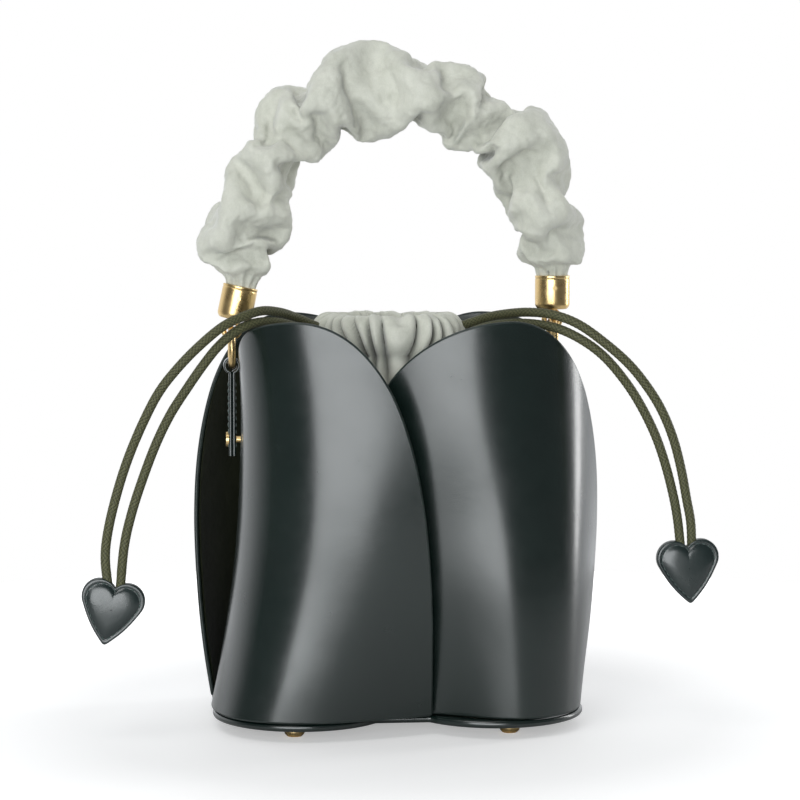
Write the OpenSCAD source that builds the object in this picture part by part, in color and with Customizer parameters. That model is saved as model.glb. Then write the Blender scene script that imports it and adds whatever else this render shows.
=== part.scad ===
// Mini bucket bag: four overlapping leather petals round a drawstring pouch,
// with a gathered (scrunchie) handle on metal ferrules and two heart-ended cords.
// Millimetres. +X right, -Y front, +Z up; origin on the floor under the middle.

/* [Body] */
// Sideways distance from the middle to each lobe's centre
lobe_x = 43; // [38:0.5:50]
// Front-to-back distance from the middle to each lobe's centre
lobe_y = 19; // [16:0.5:24]
// Radius of each of the four lobes
lobe_r = 38; // [33:0.5:44]
// Height of the petals' tips above the floor
petal_top = 180; // [150:1:220]
// How far a petal's free edge stands off the next petal at mid height
petal_flare = 20; // [8:0.5:26]
// Thickness of the petal leather
leather_t = 1.8; // [1.2:0.1:2.4]
// Thickness of the petals' lining
lining_t = 0.6; // [0.4:0.1:1]

/* [Base] */
// Diameter of a foot
foot_d = 9; // [6:0.5:12]
// Height of a foot
foot_h = 5; // [3:0.5:8]
// Thickness of the leather base
base_t = 3.2; // [2:0.2:5]
// Thickness of the stiff board inside the base
board_t = 2.6; // [1.6:0.2:4]

/* [Pouch] */
// Height of the pouch's gathered top above the floor
pouch_top = 182; // [156:1:226]
// Outside radius of the gathered casing
casing_r = 34; // [28:0.5:38]
// Radius of the mouth inside the gathered casing
mouth_r = 18; // [10:0.5:20]
// Thickness of the pouch wall
pouch_wall = 1.6; // [1:0.1:2.4]

/* [Cords] */
// Diameter of the drawcords
cord_d = 4; // [3:0.1:5]
// Width of a heart charm
heart_w = 27; // [20:0.5:34]
// Thickness of a heart charm's padding
heart_pad = 4; // [2:0.5:6]
// Thickness of each leather face of a heart charm
heart_t = 1.5; // [1:0.1:2]

/* [Handle] */
// Height of the arch's centre line above its springing
arch_h = 76; // [60:1:100]
// Half of the distance between the arch's two legs
arch_w = 68.5; // [60:0.5:72]
// Mean radius of the gathered sleeve
sleeve_r = 15; // [11:0.5:17]
// Diameter of the rope core inside the sleeve
core_d = 8; // [6:0.5:10]
// Diameter of a ferrule
ferrule_d = 15.5; // [13:0.5:18]
// Length of a ferrule
ferrule_l = 15; // [12:0.5:20]

/* [Rings] */
// Mean radius of an O-ring
ring_r = 8; // [7:0.5:10]
// Diameter of the O-rings' wire
ring_wire = 3.2; // [2.4:0.2:3.6]
// Width of a ring tab where it wraps its ring
tab_w = 8; // [6:0.5:9]
// Running clearance round the rings' wire
ring_gap = 0.5; // [0.3:0.1:0.8]

/* [Hidden] */
// Heights of the stack, from the floor up
base_z = foot_h;
petal_z = base_z + base_t + 0.2;
board_z = base_z + base_t + 0.05;
pouch_z = board_z + board_t + 0.05;
petal_mid = petal_z + (petal_top - petal_z) * 0.6;
base_rim = 1;
glue = 0.05;
lining_gap = 0.3;
board_inset = 10.5;

// A petal's centre line, seen from above, at its foot, middle and tip. Each list
// runs from the tucked edge to the free edge; the fourth point lies under the tip.
front_y = -lobe_y - lobe_r;
side_x = lobe_x + lobe_r;
notch_y = front_y + 15;
mid_in = 11;
peak_at = 3;
last_at = 5;
long_foot = [
    [-side_x + 8, 14], [-side_x - 4, -10], [-side_x + 3, -46],
    [-lobe_x - 8, front_y - 3], [-20, front_y + 0.5], [13, notch_y - 2]
];
long_mid = [
    [-side_x + mid_in + 5, 14], [-side_x + mid_in, -12], [-side_x + mid_in + 4, -38],
    [-lobe_x - 2, front_y + 1], [-20, notch_y - petal_flare], [12, notch_y - petal_flare + 2]
];
long_tip = [
    [-side_x + mid_in + 5, 14], [-side_x + mid_in, -8], [-side_x + 8, -38],
    [-lobe_x - 4, front_y - 1], [-17, front_y - 4], [12, front_y - 2]
];
wide_foot = [
    [-20, notch_y + 4.5], [-3, notch_y + 4], [20, notch_y + 1.5],
    [lobe_x + 4, front_y - 5], [side_x - 2, -45], [side_x + 0.8, -8]
];
wide_mid = [
    [-26, notch_y + 4], [-6, notch_y], [19, notch_y - 10],
    [lobe_x + 3, front_y + 1], [side_x - 5, -46], [side_x + petal_flare / 2, -10]
];
wide_tip = [
    [-30, notch_y + 4], [-8, notch_y - 4], [18, front_y],
    [lobe_x + 3, front_y + 1], [side_x - 9, -44], [side_x + 7, -14]
];

// Outline of a petal: a superellipse over its width and height
outline_width_power = 2;
outline_height_power = 3.3;

// Routes of the free cord strands, from the casing to the hearts
left_outer_route = [
    [-35, -8, 176], [-45, -16, 180.5], [-52, -24, 183], [-60, -33, 184], [-68, -40, 182],
    [-77, -45, 178], [-87, -48, 170], [-96, -50, 161], [-104, -51, 151], [-110.5, -52, 139],
    [-117, -52, 124], [-122, -52, 109], [-126, -52, 93], [-127.5, -52, 80], [-126, -52, 65]
];
left_inner_route = [
    [-34, -13, 171.5], [-45, -21, 176.5], [-54, -29, 179], [-63, -36, 179], [-71, -41, 176],
    [-79, -44, 169.5], [-86, -46, 161], [-93, -47, 151], [-99.5, -48, 141], [-105.5, -49, 129],
    [-111, -50, 115], [-116, -51, 100], [-119.5, -52, 85], [-121.5, -52, 65]
];
right_outer_route = [
    [29, -8, 176], [39, -16, 180], [47, -24, 182], [56, -33, 183], [66, -40, 182],
    [76, -45, 178], [87, -48, 170], [97, -50, 161], [105, -51, 151], [111, -52, 141],
    [116, -52, 129], [119.5, -52, 116], [122, -52, 103], [124, -52, 92], [124.5, -52, 78]
];
right_inner_route = [
    [28, -13, 171.5], [38, -21, 176], [48, -29, 178], [58, -35, 178], [68, -40, 176],
    [78, -44, 171], [87, -46, 164], [95.5, -47, 154], [102, -48, 144], [108, -49, 132],
    [112, -50, 121], [115.5, -51, 108], [118, -52, 95], [120, -52, 78]
];
cord_sides = 8;

// Hearts: centre and lean of each
left_heart_at = [-125.5, -52, 57];
left_heart_lean = 12;
right_heart_at = [123, -52, 71.5];
right_heart_lean = -4;
heart_lobe_r = heart_w * 0.28;
heart_lobe_x = heart_w / 2 - heart_lobe_r;
heart_lobe_z = heart_w * 0.23;
heart_tip_r = 1.5;
socket_gap = 1;
socket_depth = 20;
heart_tip_z = -heart_w * 0.51 + heart_tip_r;

// Pouch: its centre, and its rings as [height share, half width, half depth]
pouch_x = -3;
casing_h = 18;
casing_z = pouch_top - casing_h;
pouch_rings = [
    [0, side_x - 17, -notch_y - 11], [0.04, side_x - 14, -notch_y - 8],
    [0.3, side_x - 19, -notch_y - 8], [0.6, side_x - 26, -notch_y - 8],
    [0.8, side_x - 31, -notch_y - 8], [0.92, side_x - 39, -notch_y - 9],
    [1, casing_r - 4, casing_r - 4]
];
pouch_folds = 10;
pouch_fold_depth = 0.8;
channel_r = casing_r - 7;
channel_gap = 0.3;
upper_cord_z = pouch_top - 5.5;
lower_cord_z = pouch_top - 11.5;
left_loop_start = 220;
right_loop_start = 20;
loop_turn = 320;
exit_back = 3;
exit_reach = 14;
exit_gap = 0.4;

// Handle: hinge line through the two O-rings, and the arch above it
left_ring_x = -side_x + 8.5;
right_ring_x = side_x - 10;
left_ring_z = petal_top - 13.5;
right_ring_z = petal_top - 9.5;
spring_z = petal_top + 25;
arch_x = 1;
left_lean = 12;
right_lean = 0;
eye_hole_r = ring_wire / 2 + 0.8;
eye_wire = 2.4;
eye_r = eye_hole_r + eye_wire / 2;
ferrule_bore = core_d + 0.3;
ferrule_floor = 3;
pin_d = 2;
pin_gap = 0.1;
core_gap = 1.3;
arch_steps = 26;
sleeve_sides = 14;
core_sides = 12;
sleeve_lumps = 9;

// Ring tabs: a loop round the wire and a strap riveted through a petal
tab_t = 1.5;
tab_bore = ring_wire / 2 + ring_gap + 0.2;
tab_foot = 40;
rivet_d = 3;
rivet_head_d = 7;
rivet_down = 33;
rivet_head_t = 1.2;
rivet_play = 0.25;
rivet_gap = 0.1;
rivet_hole_l = 30;

$fn = 48;

leather = [0.1, 0.14, 0.12];
leather_inside = [0.13, 0.13, 0.09];
suede = [0.8, 0.81, 0.76];
gold = [0.83, 0.6, 0.2];
cord_green = [0.27, 0.28, 0.17];

// ---------- curves ----------

// Point of a uniform cubic spline over the points p, which it meets at both ends
function spline_ghost(p, i) =
    i < 0 ? 2 * p[0] - p[1] :
    i >= len(p) ? 2 * p[len(p) - 1] - p[len(p) - 2] :
    p[i];
function spline_step(a, b, c, d, f) =
    (pow(1 - f, 3) * a + (3 * pow(f, 3) - 6 * f * f + 4) * b
    + (3 * f + 3 * f * f - 3 * pow(f, 3) + 1) * c + pow(f, 3) * d) / 6;
function spline(p, t) =
    let (i = max(0, min(floor(t), len(p) - 2)), f = t - i)
    spline_step(spline_ghost(p, i - 1), p[i], p[i + 1], spline_ghost(p, i + 2), f);

// Sideways unit vector of a plan curve, to the right of its run (outwards here)
function right_of(d) = [d[1], -d[0]] / norm(d);
function unit(v) = v / norm(v);

// Quad faces of a grid of points, nu by nv, that starts at index o
function grid_faces(nu, nv, o, flip) = [
    for (i = [0 : nu - 2], j = [0 : nv - 2])
        let (q = [o + i * nv + j, o + i * nv + j + 1, o + (i + 1) * nv + j + 1, o + (i + 1) * nv + j])
        each flip ? [[q[0], q[3], q[2]], [q[0], q[2], q[1]]] : [[q[0], q[1], q[2]], [q[0], q[2], q[3]]]
];

// ---------- petals ----------

// Shares of the three plan curves at height z, so that the sheet passes through all three
function foot_share(z) =
    (z - petal_mid) * (z - petal_top) / ((petal_z - petal_mid) * (petal_z - petal_top));
function mid_share(z) =
    (z - petal_z) * (z - petal_top) / ((petal_mid - petal_z) * (petal_mid - petal_top));
function tip_share(z) =
    (z - petal_z) * (z - petal_mid) / ((petal_top - petal_z) * (petal_top - petal_mid));
function plan_at(kind, z) = [
    for (i = [0 : last_at])
        foot_share(z) * kind[0][i] + mid_share(z) * kind[1][i] + tip_share(z) * kind[2][i]
];

// Point of a petal: a runs -1 (tucked) to 1 (free), b runs 0 (foot) to 1 (tip),
// and off is its distance outwards from the middle of the leather
function petal_point(kind, a, b, off) =
    let (
        width_share = a * sqrt(1 - b * b / 2),
        round_height = b * sqrt(1 - a * a / 2),
        height_share = pow(round_height, outline_width_power / outline_height_power),
        z = petal_z + height_share * (petal_top - petal_z),
        t = peak_at + width_share * (width_share > 0 ? last_at - peak_at : peak_at),
        plan = plan_at(kind, z),
        here = spline(plan, t),
        ahead = spline(plan, min(t + 0.02, last_at)),
        behind = spline(plan, max(t - 0.02, 0)),
        side = right_of(ahead - behind)
    )
    [here[0] + off * side[0], here[1] + off * side[1], z];

// Closed sheet between two distances from a petal's middle surface
module petal_sheet(kind, inner, outer, a_reach, b_low, b_high, na, nb) {
    power = outline_height_power / outline_width_power;
    rows = [for (j = [0 : nb]) b_low + (b_high - b_low) * pow(j / nb, power)];
    cols = [for (i = [0 : na]) a_reach * (2 * i / na - 1)];
    outside = [for (a = cols, b = rows) petal_point(kind, a, b, outer)];
    inside = [for (a = cols, b = rows) petal_point(kind, a, b, inner)];
    n = (na + 1) * (nb + 1);
    w = nb + 1;
    rim = concat(
        [for (i = [0 : na]) i * w],
        [for (j = [1 : nb]) na * w + j],
        [for (i = [na - 1 : -1 : 0]) i * w + nb],
        [for (j = [nb - 1 : -1 : 1]) j]
    );
    edge = [
        for (k = [0 : len(rim) - 1])
            let (p = rim[k], q = rim[(k + 1) % len(rim)])
            each [[p, q, q + n], [p, q + n, p + n]]
    ];
    polyhedron(
        concat(outside, inside),
        concat(grid_faces(na + 1, w, 0, false), grid_faces(na + 1, w, n, true), edge),
        convexity = 6
    );
}

long_kind = [long_foot, long_mid, long_tip];
wide_kind = [wide_foot, wide_mid, wide_tip];

// Distance from the middle plane x = 0 to a long petal's middle surface, where it
// crosses the plane y = 0 at height z; the crossing is found by halving
function crossing(plan, low, high, halvings) =
    let (mid = (low + high) / 2)
    halvings == 0 ? mid :
    spline(plan, mid)[1] > 0
        ? crossing(plan, mid, high, halvings - 1)
        : crossing(plan, low, mid, halvings - 1);
function long_side_x(z) =
    let (plan = plan_at(long_kind, z))
    -spline(plan, crossing(plan, 0, 2, 20))[0];

// The long petals carry the ring tabs: the left one as drawn, the right one turned
module petal_rivet_hole(turn) {
    if (turn == 0) rivet_hole(left_ring_x, left_ring_z);
    else rivet_hole(-right_ring_x, right_ring_z);
}

module petal(kind, turn) {
    color(leather)
        rotate([0, 0, turn])
            difference() {
                petal_sheet(kind, -leather_t / 2, leather_t / 2, 1, 0, 1, 24, 14);
                if (kind == long_kind) petal_rivet_hole(turn);
            }
}

module lining(kind, turn) {
    face = -leather_t / 2 - lining_gap;
    color(leather_inside)
        rotate([0, 0, turn])
            difference() {
                petal_sheet(kind, face - lining_t, face, 0.96, 0.02, 0.96, 18, 11);
                if (kind == long_kind) petal_rivet_hole(turn);
            }
}

module petal_front_left() petal(long_kind, 0);
module petal_front_right() petal(wide_kind, 0);
module petal_back_right() petal(long_kind, 180);
module petal_back_left() petal(wide_kind, 180);
module lining_front_left() lining(long_kind, 0);
module lining_front_right() lining(wide_kind, 0);
module lining_back_right() lining(long_kind, 180);
module lining_back_left() lining(wide_kind, 180);

// ---------- base and feet ----------

foot_x = lobe_x + 4;
foot_y = lobe_y + 21;
foot_bore = 3.2;
foot_shank = 3;
nut_d = 8;
nut_t = 2;

module lobed_plate(grow, thickness) {
    linear_extrude(thickness) {
        for (sx = [-1, 1], sy = [-1, 1])
            translate([sx * lobe_x, sy * lobe_y]) circle(lobe_r + grow);
        square([2 * lobe_x, 2 * (-notch_y + grow)], center = true);
        square([2 * (side_x - 6 + grow), 2 * lobe_y], center = true);
    }
}

module foot_holes() {
    for (sx = [-1, 1], sy = [-1, 1])
        translate([sx * foot_x, sy * foot_y, 0])
            cylinder(h = pouch_z + nut_t + 5, d = foot_bore);
}

module base_cover() {
    color(leather)
        difference() {
            translate([0, 0, base_z]) lobed_plate(base_rim, base_t);
            foot_holes();
        }
}

module base_board() {
    color("tan")
        difference() {
            translate([0, 0, board_z]) lobed_plate(-board_inset, board_t);
            foot_holes();
        }
}

module foot(sx, sy) {
    dome = foot_d / 2;
    color(gold)
        translate([sx * foot_x, sy * foot_y, 0]) {
            rotate_extrude()
                polygon([
                    [0, 0], [dome - 1.2, 0], [dome - 0.3, 0.9], [dome, 2], [dome, foot_h],
                    [foot_shank / 2, foot_h], [foot_shank / 2, board_z + board_t + nut_t + 1],
                    [0, board_z + board_t + nut_t + 1]
                ]);
        }
}

module foot_front_left() foot(-1, -1);
module foot_front_right() foot(1, -1);
module foot_back_left() foot(-1, 1);
module foot_back_right() foot(1, 1);

module foot_nuts() {
    color(gold)
        for (sx = [-1, 1], sy = [-1, 1])
            translate([sx * foot_x, sy * foot_y, board_z + board_t])
                difference() {
                    cylinder(h = nut_t, d = nut_d);
                    translate([0, 0, -1]) cylinder(h = nut_t + 2, d = foot_bore);
                }
}

// ---------- pouch ----------

function pouch_size(h) =
    let (
        k = [for (i = [0 : len(pouch_rings) - 2]) if (h >= pouch_rings[i][0]) i],
        i = k[len(k) - 1],
        f = (h - pouch_rings[i][0]) / (pouch_rings[i + 1][0] - pouch_rings[i][0])
    )
    [for (c = [1, 2]) pouch_rings[i][c] * (1 - f) + pouch_rings[i + 1][c] * f];
function pouch_point(h, turn, inset, low, high) =
    let (
        size = pouch_size(h),
        fold = pouch_fold_depth * sin(turn * pouch_folds) * h,
        shift = pouch_x * h
    )
    [
        shift + (size[0] - inset + fold) * cos(turn),
        (size[1] - inset + fold) * sin(turn),
        low + (high - low) * h
    ];

// Soft bag, open at the top, with a flat floor
module pouch() {
    turns = 40;
    shares = [0, 0.04, 0.16, 0.3, 0.45, 0.6, 0.7, 0.8, 0.87, 0.94, 1];
    rows = len(shares);
    outside = [
        for (h = shares, k = [0 : turns - 1])
            pouch_point(h, 360 * k / turns, 0, pouch_z, casing_z)
    ];
    inside = [
        for (h = shares, k = [0 : turns - 1])
            pouch_point(h, 360 * k / turns, pouch_wall, pouch_z + pouch_wall, casing_z)
    ];
    n = rows * turns;
    wall = [
        for (i = [0 : rows - 2], k = [0 : turns - 1])
            let (p = i * turns + k, q = i * turns + (k + 1) % turns)
            each [[p, p + turns, q + turns], [p, q + turns, q]]
    ];
    lip = [
        for (k = [0 : turns - 1])
            let (p = (rows - 1) * turns + k, q = (rows - 1) * turns + (k + 1) % turns)
            each [[p, p + n, q + n], [p, q + n, q]]
    ];
    color(suede)
        polyhedron(
            concat(outside, inside),
            concat(
                wall,
                [for (f = wall) [f[2] + n, f[1] + n, f[0] + n]],
                lip,
                [[for (k = [0 : turns - 1]) k]],
                [[for (k = [turns - 1 : -1 : 0]) k + n]]
            ),
            convexity = 6
        );
}

// Gathered ring with one channel for both cords, and the strands' exits at each side
module pouch_casing() {
    channel_w = cord_d + 2 * channel_gap;
    channel_h = upper_cord_z - lower_cord_z + channel_w;
    mouth_top = casing_r - 8;
    color(suede)
        difference() {
            translate([pouch_x, 0, 0])
                rotate_extrude()
                    difference() {
                        polygon([
                            [mouth_r + 4, casing_z + glue], [casing_r - 4, casing_z + glue],
                            [casing_r, casing_z + 5], [casing_r, pouch_top - 3],
                            [casing_r - 1.5, pouch_top - 1], [casing_r - 4, pouch_top],
                            [mouth_top, pouch_top], [mouth_r, pouch_top - 6],
                            [mouth_r, casing_z + 5]
                        ]);
                        translate([channel_r - channel_w / 2, lower_cord_z - channel_w / 2])
                            square([channel_w, channel_h]);
                    }
            for (r = [left_outer_route, left_inner_route, right_outer_route, right_inner_route])
                strand_exit(r);
        }
}

// Round hole that a strand leaves the casing by, along the strand's first step
module strand_exit(route) {
    way = unit(route[1] - route[0]);
    translate(route[0] - exit_back * way)
        rotate([0, acos(way[2]), atan2(way[1], way[0])])
            cylinder(h = exit_back + exit_reach, d = cord_d + 2 * exit_gap);
}

// Part of a drawcord that runs through the casing, with both ends at one side
module cord_loop(turn, z) {
    color(cord_green)
        translate([pouch_x, 0, z])
            rotate([0, 0, turn])
                rotate_extrude(angle = loop_turn)
                    translate([channel_r, 0]) circle(d = cord_d);
}
module drawcord_left_loop() cord_loop(left_loop_start, lower_cord_z);
module drawcord_right_loop() cord_loop(right_loop_start, upper_cord_z);

// Tube swept along a route, one ring of points at each point of the route
function route_way(r, i) =
    unit(r[min(i + 1, len(r) - 1)] - r[max(i - 1, 0)]);
function ring_at(centre, way, radius, sides) =
    let (u = unit(cross(way, [0, 1, 0])), v = cross(way, u))
    [
        for (k = [0 : sides - 1])
            centre + radius * (cos(360 * k / sides) * u + sin(360 * k / sides) * v)
    ];
function tube_faces(rings, sides, o, flip) = [
    for (i = [0 : rings - 2], k = [0 : sides - 1])
        let (p = o + i * sides + k, q = o + i * sides + (k + 1) % sides)
        each flip
            ? [[p, q + sides, p + sides], [p, q, q + sides]]
            : [[p, p + sides, q + sides], [p, q + sides, q]]
];

module strand(route) {
    n = len(route);
    points = [for (i = [0 : n - 1]) each ring_at(route[i], route_way(route, i), cord_d / 2, cord_sides)];
    color(cord_green)
        polyhedron(
            points,
            concat(
                tube_faces(n, cord_sides, 0, false),
                [[for (k = [0 : cord_sides - 1]) k]],
                [[for (k = [cord_sides - 1 : -1 : 0]) (n - 1) * cord_sides + k]]
            ),
            convexity = 6
        );
}
module drawcord_left_outer() strand(left_outer_route);
module drawcord_left_inner() strand(left_inner_route);
module drawcord_right_outer() strand(right_outer_route);
module drawcord_right_inner() strand(right_inner_route);

// ---------- hearts ----------

module heart_outline(inset) {
    for (s = [-1, 1])
        hull() {
            translate([s * heart_lobe_x, heart_lobe_z]) circle(heart_lobe_r - inset);
            translate([0, heart_tip_z + inset * 0.8]) circle(heart_tip_r, $fn = 16);
        }
}

// One layer of a heart, between two distances from its middle plane (front is negative)
module heart_layer(at, lean, low, high, inset) {
    translate(at)
        rotate([0, lean, 0])
            rotate([90, 0, 0])
                translate([0, 0, low])
                    linear_extrude(high - low) heart_outline(inset);
}
module cord_sockets(routes) {
    for (r = routes)
        translate(r[len(r) - 1] - [0, 0, 1])
            translate([-cord_d / 2 - socket_gap, -cord_d / 2 - socket_gap, 0])
                cube([cord_d + 2 * socket_gap, cord_d + 2 * socket_gap, socket_depth]);
}
module heart_front(at, lean) {
    color(leather) heart_layer(at, lean, heart_pad / 2 + glue, heart_pad / 2 + glue + heart_t, 0);
}
module heart_back(at, lean) {
    color(leather) heart_layer(at, lean, -heart_pad / 2 - glue - heart_t, -heart_pad / 2 - glue, 0);
}
module heart_padding(at, lean, routes) {
    color("dimgray")
        difference() {
            heart_layer(at, lean, -heart_pad / 2, heart_pad / 2, 1.2);
            cord_sockets(routes);
        }
}
module heart_left_front() heart_front(left_heart_at, left_heart_lean);
module heart_left_back() heart_back(left_heart_at, left_heart_lean);
module heart_left_padding()
    heart_padding(left_heart_at, left_heart_lean, [left_outer_route, left_inner_route]);
module heart_right_front() heart_front(right_heart_at, right_heart_lean);
module heart_right_back() heart_back(right_heart_at, right_heart_lean);
module heart_right_padding()
    heart_padding(right_heart_at, right_heart_lean, [right_outer_route, right_inner_route]);

// ---------- handle ----------

left_eye = [left_ring_x, 0, left_ring_z + ring_r];
right_eye = [right_ring_x, 0, right_ring_z + ring_r];
function leg_up(lean) = [sin(lean), 0, cos(lean)];
ferrule_rise = eye_r + 1;
left_foot = left_eye + ferrule_rise * leg_up(left_lean);
right_foot = right_eye + ferrule_rise * leg_up(right_lean);
left_cap = left_foot + ferrule_l * leg_up(left_lean);
right_cap = right_foot + ferrule_l * leg_up(right_lean);
core_start = left_foot + (ferrule_floor + glue) * leg_up(left_lean);
core_end = right_foot + (ferrule_floor + glue) * leg_up(right_lean);

// Centre line of the handle: up one leg, over a half ellipse and down the other leg
sleeve_start = 0.3;
sleeve_stub = 4;
arch_route = concat(
    [for (s = [sleeve_start, sleeve_stub]) left_cap + s * leg_up(left_lean)],
    [
        for (i = [1 : arch_steps - 1])
            let (turn = 180 - 180 * i / arch_steps)
            [arch_x + arch_w * cos(turn), 0, spring_z + arch_h * sin(turn)]
    ],
    [for (s = [sleeve_stub, sleeve_start]) right_cap + s * leg_up(right_lean)]
);
core_route = concat([core_start], arch_route, [core_end]);

module handle_core() {
    n = len(core_route);
    points = [
        for (i = [0 : n - 1])
            each ring_at(core_route[i], route_way(core_route, i), core_d / 2, core_sides)
    ];
    color("ivory")
        difference() {
            polyhedron(
                points,
                concat(
                    tube_faces(n, core_sides, 0, false),
                    [[for (k = [0 : core_sides - 1]) k]],
                    [[for (k = [core_sides - 1 : -1 : 0]) (n - 1) * core_sides + k]]
                ),
                convexity = 6
            );
            pin_at(left_eye, left_lean, pin_d + pin_gap);
            pin_at(right_eye, right_lean, pin_d + pin_gap);
        }
}

// Radius of the gathered sleeve: pinched at both ferrules, lumpy between them
function sleeve_at(i, n) =
    let (share = i / (n - 1), ends = pow(sin(180 * share), 0.35))
    ferrule_d / 2 + (sleeve_r - ferrule_d / 2) * ends + 1.3 * ends * sin(360 * sleeve_lumps * share);

module handle_sleeve() {
    n = len(arch_route);
    bore = core_d / 2 + core_gap;
    outside = [
        for (i = [0 : n - 1])
            each ring_at(arch_route[i], route_way(arch_route, i), sleeve_at(i, n), sleeve_sides)
    ];
    inside = [
        for (i = [0 : n - 1])
            each ring_at(arch_route[i], route_way(arch_route, i), bore, sleeve_sides)
    ];
    m = n * sleeve_sides;
    ends = [
        for (k = [0 : sleeve_sides - 1])
            let (q = (k + 1) % sleeve_sides, top = (n - 1) * sleeve_sides)
            each [
                [k, q, q + m], [k, q + m, k + m],
                [top + k, top + k + m, top + q + m], [top + k, top + q + m, top + q]
            ]
    ];
    color(suede)
        polyhedron(
            concat(outside, inside),
            concat(
                tube_faces(n, sleeve_sides, 0, false),
                tube_faces(n, sleeve_sides, m, true),
                ends
            ),
            convexity = 6
        );
}

// Metal cap on the end of the core, with an eye below it that runs on the O-ring
module ferrule(eye, lean) {
    r = ferrule_d / 2;
    color(gold)
        translate(eye)
            rotate([0, lean, 0]) {
                translate([0, 0, ferrule_rise])
                    difference() {
                        rotate_extrude()
                            polygon([
                                [0, 0], [r - 2, 0], [r - 0.6, 0.7], [r, 2.2],
                                [r, ferrule_l], [ferrule_bore / 2, ferrule_l],
                                [ferrule_bore / 2, ferrule_floor], [0, ferrule_floor]
                            ]);
                        translate([0, 0, ferrule_l / 2 + 2])
                            rotate([90, 0, 0])
                                cylinder(h = ferrule_d + 2, d = pin_d + pin_gap, center = true);
                    }
                rotate([90, 0, 0])
                    rotate_extrude()
                        translate([eye_r, 0]) circle(d = eye_wire);
                translate([0, 0, eye_r]) cylinder(h = 2, d = 3.2);
            }
}
module ferrule_left() ferrule(left_eye, left_lean);
module ferrule_right() ferrule(right_eye, right_lean);

module pin_at(eye, lean, d) {
    translate(eye)
        rotate([0, lean, 0])
            translate([0, 0, ferrule_rise + ferrule_l / 2 + 2])
                rotate([90, 0, 0])
                    cylinder(h = ferrule_d, d = d, center = true);
}
module ferrule_pin_left() color(gold) pin_at(left_eye, left_lean, pin_d);
module ferrule_pin_right() color(gold) pin_at(right_eye, right_lean, pin_d);

// ---------- rings and tabs ----------

module ring_wire_at(x, z, wire) {
    translate([x, 0, z])
        rotate([0, 90, 0])
            rotate_extrude()
                translate([ring_r, 0]) circle(d = wire);
}
module o_ring_left() color(gold) ring_wire_at(left_ring_x, left_ring_z, ring_wire);
module o_ring_right() color(gold) ring_wire_at(right_ring_x, right_ring_z, ring_wire);

// Strap folded round the ring's lower wire and riveted through the petal beside it
module ring_tab(x, z) {
    low = z - ring_r;
    outer = tab_bore + tab_t;
    color(leather)
        difference() {
            translate([x, tab_w / 2, low])
                rotate([90, 0, 0])
                    linear_extrude(tab_w)
                        difference() {
                            union() {
                                circle(outer);
                                translate([-tab_t, -tab_foot]) square([2 * tab_t, tab_foot]);
                            }
                            circle(tab_bore);
                        }
            ring_wire_at(x, z, ring_wire + 2 * ring_gap);
            rivet_hole(x, z);
        }
}
module ring_tab_left() ring_tab(left_ring_x, left_ring_z);
module ring_tab_right() ring_tab(right_ring_x, right_ring_z);

module rivet_hole(x, z) {
    translate([x, 0, z - ring_r - rivet_down])
        rotate([0, 90, 0])
            cylinder(h = rivet_hole_l, d = rivet_d + rivet_gap, center = true);
}

// side is -1 on the left and 1 on the right; the rivet reaches in through petal and lining
module tab_rivet(side, x, z) {
    low = z - ring_r - rivet_down;
    skin = leather_t / 2 + lining_gap + lining_t;
    reach = abs(x) - long_side_x(low) + skin + rivet_play;
    color(gold)
        translate([x, 0, low])
            rotate([0, side * 90, 0]) {
                translate([0, 0, -reach]) cylinder(h = reach + tab_t + 1, d = rivet_d);
                translate([0, 0, tab_t + glue]) cylinder(h = rivet_head_t, d = rivet_head_d);
                translate([0, 0, -reach - rivet_head_t]) cylinder(h = rivet_head_t, d = rivet_head_d);
            }
}
module tab_rivet_left() tab_rivet(-1, left_ring_x, left_ring_z);
module tab_rivet_right() tab_rivet(1, right_ring_x, right_ring_z);

base_cover();
base_board();
foot_front_left();
foot_front_right();
foot_back_left();
foot_back_right();
foot_nuts();
petal_front_left();
petal_front_right();
petal_back_right();
petal_back_left();
lining_front_left();
lining_front_right();
lining_back_right();
lining_back_left();
pouch();
pouch_casing();
drawcord_left_loop();
drawcord_left_outer();
drawcord_left_inner();
drawcord_right_loop();
drawcord_right_outer();
drawcord_right_inner();
heart_left_front();
heart_left_back();
heart_left_padding();
heart_right_front();
heart_right_back();
heart_right_padding();
handle_core();
handle_sleeve();
ferrule_left();
ferrule_right();
ferrule_pin_left();
ferrule_pin_right();
o_ring_left();
o_ring_right();
ring_tab_left();
ring_tab_right();
tab_rivet_left();
tab_rivet_right();
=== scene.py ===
"""Looks of the mini bucket bag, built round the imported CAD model.

Shapes are worked out in millimetres and turned into metres as each mesh is made.
+X is the bag's right, -Y its front, +Z up, with the floor at zero.
"""
import math
import random

import bpy
import numpy as np
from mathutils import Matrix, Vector, noise


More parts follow.
